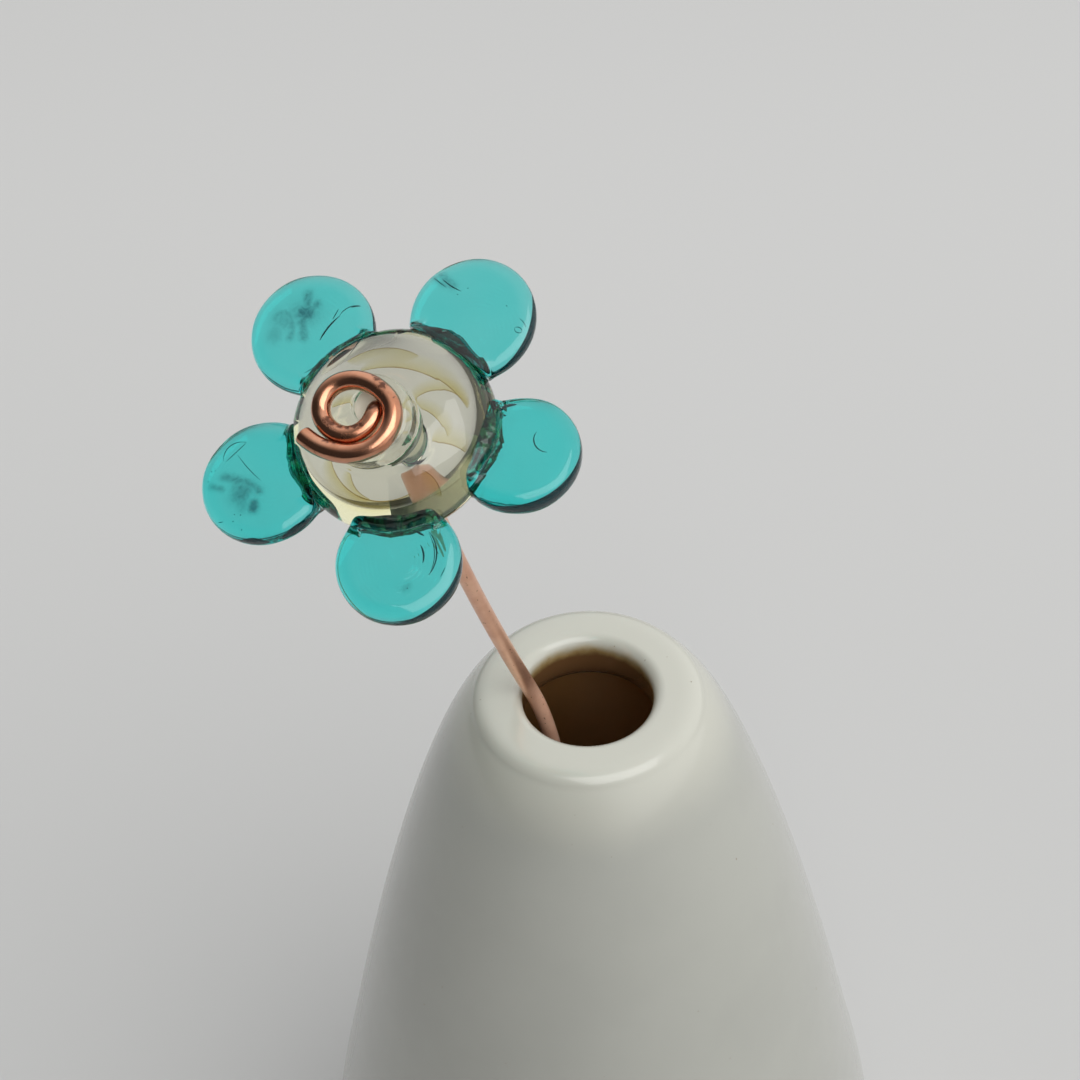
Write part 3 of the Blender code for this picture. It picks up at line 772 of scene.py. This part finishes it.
# Wisps of smoke: a half width, a strength, then an arc's start, end and bow.
SMOKE = {
    "upper_left": (
        (0.62, 1.0, (1.75, -0.5), (1.45, -0.85), 0),
        (1.15, 0.6, (1.9, -0.3), (1.5, -0.9), 0),
        (0.45, 0.75, (1.2, 0.1), (2.75, -1.8), -0.1),
        (0.42, 0.7, (1.45, -0.2), (1.55, -1.9), 0.05),
        (0.40, 0.7, (1.5, -0.45), (-0.05, 0.8), -0.1),
        (0.34, 0.6, (2.95, 1.65), (2.35, 0.5), 0.45),
        (0.34, 0.6, (2.35, 0.5), (0.7, 1.75), 0.2),
        (1.0, 0.55, (2.3, 1.1), (2.5, 1.3), 0),
        (0.7, 0.5, (2.05, 2.15), (1.8, 2.6), 0),
    ),
    "left": (
        (0.9, 0.75, (1.8, 0.5), (2.1, 0.8), 0),
        (0.40, 0.7, (3.0, -1.25), (0.5, 1.05), 0.25),
        (0.32, 0.6, (4.3, -0.9), (3.45, -0.3), 0),
        (0.45, 0.95, (1.25, 2.05), (1.35, 2.4), 0),
        (0.65, 0.6, (2.05, -0.2), (2.1, 1.8), -0.2),
    ),
    "upper_right": (
        (0.40, 0.6, (1.65, 4.3), (1.45, 2.9), 0),
        (0.3, 0.5, (1.2, 4.7), (1.1, 3.5), 0),
    ),
    "bottom": ((0.35, 0.45, (2.4, 0.9), (2.6, 0.6), 0),),
    "right": ((0.3, 0.45, (-2.6, 2.6), (-2.4, 1.8), 0),),
}

# Creases: a half thickness, a height as a share of the petal's, then an arc's start, end and bow.
CREASES = {
    "right": (
        (0.055, 0.95, (1.1, 1.8), (2.5, 0.2), -0.6),
        (0.13, 0.95, (-2.5, 3.2), (-1.3, 3.9), 0.1),
    ),
    "bottom": (
        (0.09, 0.9, (-2.4, 1.5), (-1.9, 2.25), 0),
        (0.06, 0.85, (-2.2, 2.65), (1.5, 2.55), 0.65),
        (0.035, 0.9, (-2.05, 2.65), (1.3, 2.7), 0.4),
        (0.075, 0.9, (-1.1, 1.95), (0.45, 2.1), 0.15),
        (0.03, 0.8, (0.95, 3.9), (1.75, 3.5), 0),
    ),
    "upper_right": (
        (0.05, 0.85, (1.5, 4.1), (1.45, 2.05), -0.1),
        (0.035, 0.85, (1.2, 4.8), (1.05, 3.35), 0),
        (0.03, 0.55, (1.15, -3.75), (1.15, -4.45), 0.23),
        (0.03, 0.55, (1.15, -3.75), (1.15, -4.45), -0.23),
        (0.03, 0.7, (2.0, -3.65), (1.65, -4.5), 0.1),
    ),
    "left": (
        (0.035, 0.85, (2.75, -2.85), (0.5, -3.75), 0.7),
        (0.035, 0.85, (0.5, -3.7), (2.55, -2.7), 0),
        (0.03, 0.9, (1.45, -2.9), (0.15, 0.15), -0.1),
        (0.03, 0.85, (4.55, 2.4), (4.1, 2.5), 0),
    ),
    "upper_left": (
        (0.075, 0.85, (-1.15, -0.1), (-0.55, -2.65), 0.15),
        (0.04, 0.85, (-0.4, -2.05), (0.0, -3.0), 0),
        (0.035, 0.8, (-0.55, -2.65), (-1.05, -4.55), 0.35),
        (0.055, 0.75, (-0.6, -3.9), (-1.05, -4.55), 0.05),
        (0.035, 0.85, (-2.65, 2.7), (-2.95, 1.0), 0),
    ),
}
# Specks, each a short thread across its middle.
SPECKS = {
    "bottom": ((2.5, 0.8),),
    "upper_right": ((1.05, 2.15), (1.95, 1.7), (2.35, -2.1)),
    "left": (
        *((3.65, -2.25), (3.95, -2.3), (2.55, 2.5), (3.05, 2.25)),
        *((3.3, 2.8), (2.8, 3.8), (4.45, -1.5)),
    ),
}
SPECK_HALF_THICKNESS = 0.047
SPECK_LENGTH = 0.09
SPECK_HEIGHT = 0.87


def strand(points, height, half_thickness):
    """A round thread through the points, tapered to both ends as the sine of the share run."""
    line = np.column_stack([points, np.full(len(points), height)])
    share = lengths_along(line)
    radii = half_thickness * np.sin(math.pi * np.clip(share / share[-1], 0.04, 0.96)) ** 0.5
    return tube(line, np.repeat(radii[:, None], 10, 1), 10), share


def teal_glass(name, centre, shade):
    """Transparent teal glass, faintly ridged in rings by the paddles that pressed it.

    Smoke greys it in wisps, and the collar at its root is painted dark emerald and near-black in
    patches: painted shade over the thick glass's own stronger green.
    """
    material, tree, shader = finish(f"teal_glass_{name}", Roughness=0.0, IOR=1.5, Transmission_Weight=1.0)
    tint = add(tree, "ShaderNodeVolumeAbsorption", {"Color": (0.0, 0.913, 0.905, 1), "Density": 1080.0})
    tree.links.new(tint.outputs[0], tree.nodes["Material Output"].inputs["Volume"])
    spot = add(tree, "ShaderNodeTexCoord").outputs
    middle = (centre[0] / UV_SPAN + 0.5, centre[1] / UV_SPAN + 0.5, 0)
    away = add(tree, "ShaderNodeVectorMath", {0: spot["UV"], 1: middle}, operation="DISTANCE")
    away = away.outputs["Value"]
    wander = noise(tree, spot["UV"], 4, 2)
    away = reckon(tree, "MULTIPLY_ADD", wander, 0.03, away)
    rings = reckon(tree, "SINE", reckon(tree, "MULTIPLY", away, UV_SPAN * math.tau / RIDGE_PITCH))
    uneven = noise(tree, spot["UV"], 9, 3)
    height = reckon(tree, "MULTIPLY", rings, fade(tree, uneven, 0.38, 0.62))
    off_middle = add(tree, "ShaderNodeVectorMath", {0: spot["UV"], 1: (0.5, 0.5, 0)}, operation="DISTANCE")
    height = reckon(tree, "MULTIPLY", height, fade(tree, off_middle.outputs["Value"], 0.36, 0.26))
    outwards = add(tree, "ShaderNodeSeparateXYZ", {0: spot["UV"]}).outputs["X"]
    height = reckon(tree, "MULTIPLY", height, fade(tree, outwards, 0.28, 0.46))
    bump = add(tree, "ShaderNodeBump", {"Strength": 1.0, "Distance": 0.000007, "Height": height})
    tree.links.new(bump.outputs[0], shader.inputs["Normal"])
    smoke = add(tree, "ShaderNodeAttribute", attribute_name="smoke").outputs["Fac"]
    streaks = noise(tree, spot["UV"], 22, 5, 0.55, 1.2)
    smoky = reckon(tree, "MULTIPLY", smoke, fade(tree, streaks, 0.3, 0.7, 0.8, 1.1))
    colour = blend(tree, fade(tree, smoky, 0.0, 1.0), (1, 1, 1, 1), (0.06, 0.11, 0.14, 1))
    root = add(tree, "ShaderNodeAttribute", attribute_name="root").outputs["Fac"]
    patchy = noise(tree, spot["UV"], 16, 3)
    # painted shade: the root's collar is painted near-black in patches and dark emerald elsewhere
    root_colour_and_painted_shade = fade(tree, patchy, shade - 0.08, shade + 0.08)
    root_colour_and_painted_shade = blend(tree, root_colour_and_painted_shade, (0.13, 0.52, 0.30, 1), (0.006, 0.05, 0.04, 1))
    colour = blend(tree, fade(tree, root, 0.25, 0.75), colour, root_colour_and_painted_shade)
    tree.links.new(colour, shader.inputs["Base Color"])
    return material


# The dark of the folds and specks, used too for the rims' threads of painted shade
crease_and_rim_shade_finish, _, crease_and_rim_shade_shader = finish("crease_speck_and_rim_shade", Roughness=0.4)
crease_and_rim_shade_shader.inputs["Base Color"].default_value = (0.002, 0.05, 0.06, 1)
crease_and_rim_shade_shader.inputs["Specular IOR Level"].default_value = 0.0

for seed, (name, (angle, reach, radius, twist, droop)) in enumerate(PETALS.items()):
    half = HALF_THICKNESS[name]
    points, root = petal_rings(reach, radius, half, COLLAR[name], seed)
    place = np.array(
        Matrix.Rotation(math.radians(angle), 3, "Z")
        @ Matrix.Rotation(math.radians(twist), 3, "X")
        @ Matrix.Rotation(math.radians(droop), 3, "Y")
    )
    out = np.array(Matrix.Rotation(math.radians(angle), 3, "Z").col[0] * reach)
    petal_uv = points[:, :, :2] / UV_SPAN + 0.5
    petal_shell = shell(on_flower(points @ place.T + out), None, uv=petal_uv)
    glass = teal_glass(name, RIDGE_CENTRES[name], ROOT_SHADE[name])
    petal = build(f"petal_{name}_glass", [petal_shell], glass)
    paint(petal, "root", root)
    paint(petal, "smoke", smoke_at(points, name))
    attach(petal, "root")
    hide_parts(f"petal_{name}")
    threads = []
    for half_thickness, height, start, end, bow in CREASES[name]:
        under_face = height * half - 2 * half_thickness
        rings, share = strand(arc_between(start, end, bow), under_face, half_thickness)
        threads.append(shell(on_flower(rings @ place.T + out), share))
    speck_height = SPECK_HEIGHT * half - 2 * SPECK_HALF_THICKNESS
    for x, y in SPECKS.get(name, ()):
        across = arc_between((x, y - SPECK_LENGTH / 2), (x, y + SPECK_LENGTH / 2), 0)
        rings, share = strand(across, speck_height, SPECK_HALF_THICKNESS)
        threads.append(shell(on_flower(rings @ place.T + out), share))
    # painted shade: dark threads inside the rim where it looks dark
    for stretch in PAINTED_RIM_SHADE[name]:
        rings, share = painted_rim_shade(name, half, *stretch)
        threads.append(shell(on_flower(rings @ place.T + out), share))
    creases_specks_and_rim_shade = build(f"petal_{name}_creases", threads, crease_and_rim_shade_finish)
    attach(creases_specks_and_rim_shade, "root")

# Table, light and camera -------------------------------------------------------------------------
# A large sheet of pale paper on a slate table, under one softbox above the front right.  The room
# is dimmer to the left and low behind, so that glass and copper keep their dark lines.

PALE = (0.60, 0.60, 0.592, 1)
SLATE = (0.05, 0.05, 0.052, 1)


def flat_sheet(name, corners, height, colour):
    """A flat, matt sheet through the corners, painted a little paler to the back as painted light, kept
    off the object.
    """
    mesh = bpy.data.meshes.new(name)
    mesh.from_pydata([(x, y, height) for x, y in corners], [], [tuple(range(len(corners)))])
    sheet_finish, tree, shader = finish(name, Roughness=0.9)
    spot = add(tree, "ShaderNodeTexCoord").outputs["Object"]
    back = add(tree, "ShaderNodeSeparateXYZ", {0: spot}).outputs["Y"]
    # painted light and shade: the colour is scaled down to the front and up to the back
    shade = add(tree, "ShaderNodeVectorMath", {0: colour[:3]}, operation="SCALE")
    tree.links.new(fade(tree, back, -0.15, 0.30, 0.84, 1.10), shade.inputs["Scale"])
    tree.links.new(shade.outputs["Vector"], shader.inputs["Base Color"])
    shader.inputs["Specular IOR Level"].default_value = 0.2
    mesh.materials.append(sheet_finish)
    sheet = bpy.data.objects.new(name, mesh)
    bpy.context.scene.collection.objects.link(sheet)


flat_sheet("pale_paper", [(-1.05, 0.05), (0.50, -1.50), (2.10, 0.10), (0.55, 1.65)], 0.0, PALE)
flat_sheet("slate_table", [(-2.5, -2.5), (2.5, -2.5), (2.5, 2.5), (-2.5, 2.5)], -0.0005, SLATE)


def soft_light(name, place, aim, width, height, power):
    """An oblong panel of light, its width level, turned to face a point."""
    lamp = bpy.data.lights.new(name, "AREA")
    lamp.shape = "RECTANGLE"
    lamp.size = width
    lamp.size_y = height
    lamp.energy = power
    panel = bpy.data.objects.new(name, lamp)
    panel.location = place
    towards = Matrix.Translation(aim).translation - Matrix.Translation(place).translation
    panel.rotation_euler = towards.to_track_quat("-Z", "Y").to_euler()
    bpy.context.scene.collection.objects.link(panel)


soft_light("softbox", (0.215, -0.406, 0.82), (0, 0, 0.15), 0.86, 0.68, 4.1)

world = bpy.data.worlds.new("room")
bpy.context.scene.world = world
world.use_nodes = True
room = world.node_tree
background = room.nodes["Background"]
way = add(room, "ShaderNodeTexCoord").outputs["Generated"]
side = add(room, "ShaderNodeVectorMath", {0: way, 1: (-0.883, -0.467, -0.052)}, operation="DOT_PRODUCT")
dim = fade(room, side.outputs["Value"], -0.2, 0.66)
low = fade(room, add(room, "ShaderNodeSeparateXYZ", {0: way}).outputs["Z"], 0.35, -0.05)
behind = add(room, "ShaderNodeVectorMath", {0: way, 1: (-0.8, 0.6, 0)}, operation="DOT_PRODUCT")
dim_behind = reckon(room, "MULTIPLY", low, fade(room, behind.outputs["Value"], -0.15, 0.45))
dim = reckon(room, "MAXIMUM", dim, dim_behind)
seen = blend(room, dim, (1.02, 1.02, 1.02, 1), (0.055, 0.055, 0.055, 1))
room.links.new(seen, background.inputs["Color"])
background.inputs["Strength"].default_value = 1.0

lens = bpy.data.cameras.new("camera")
lens.lens = 70.57
lens.sensor_width = 36
lens.clip_start, lens.clip_end = 0.01, 20
camera = bpy.data.objects.new("camera", lens)
camera.location = (-0.00392, -0.13914, 0.28068)
camera.rotation_euler = (
    Matrix.Rotation(math.radians(45), 3, "X") @ Matrix.Rotation(math.radians(-3.2), 3, "Z")
).to_euler()
bpy.context.scene.collection.objects.link(camera)
bpy.context.scene.camera = camera
bpy.context.scene.view_settings.view_transform = "Standard"
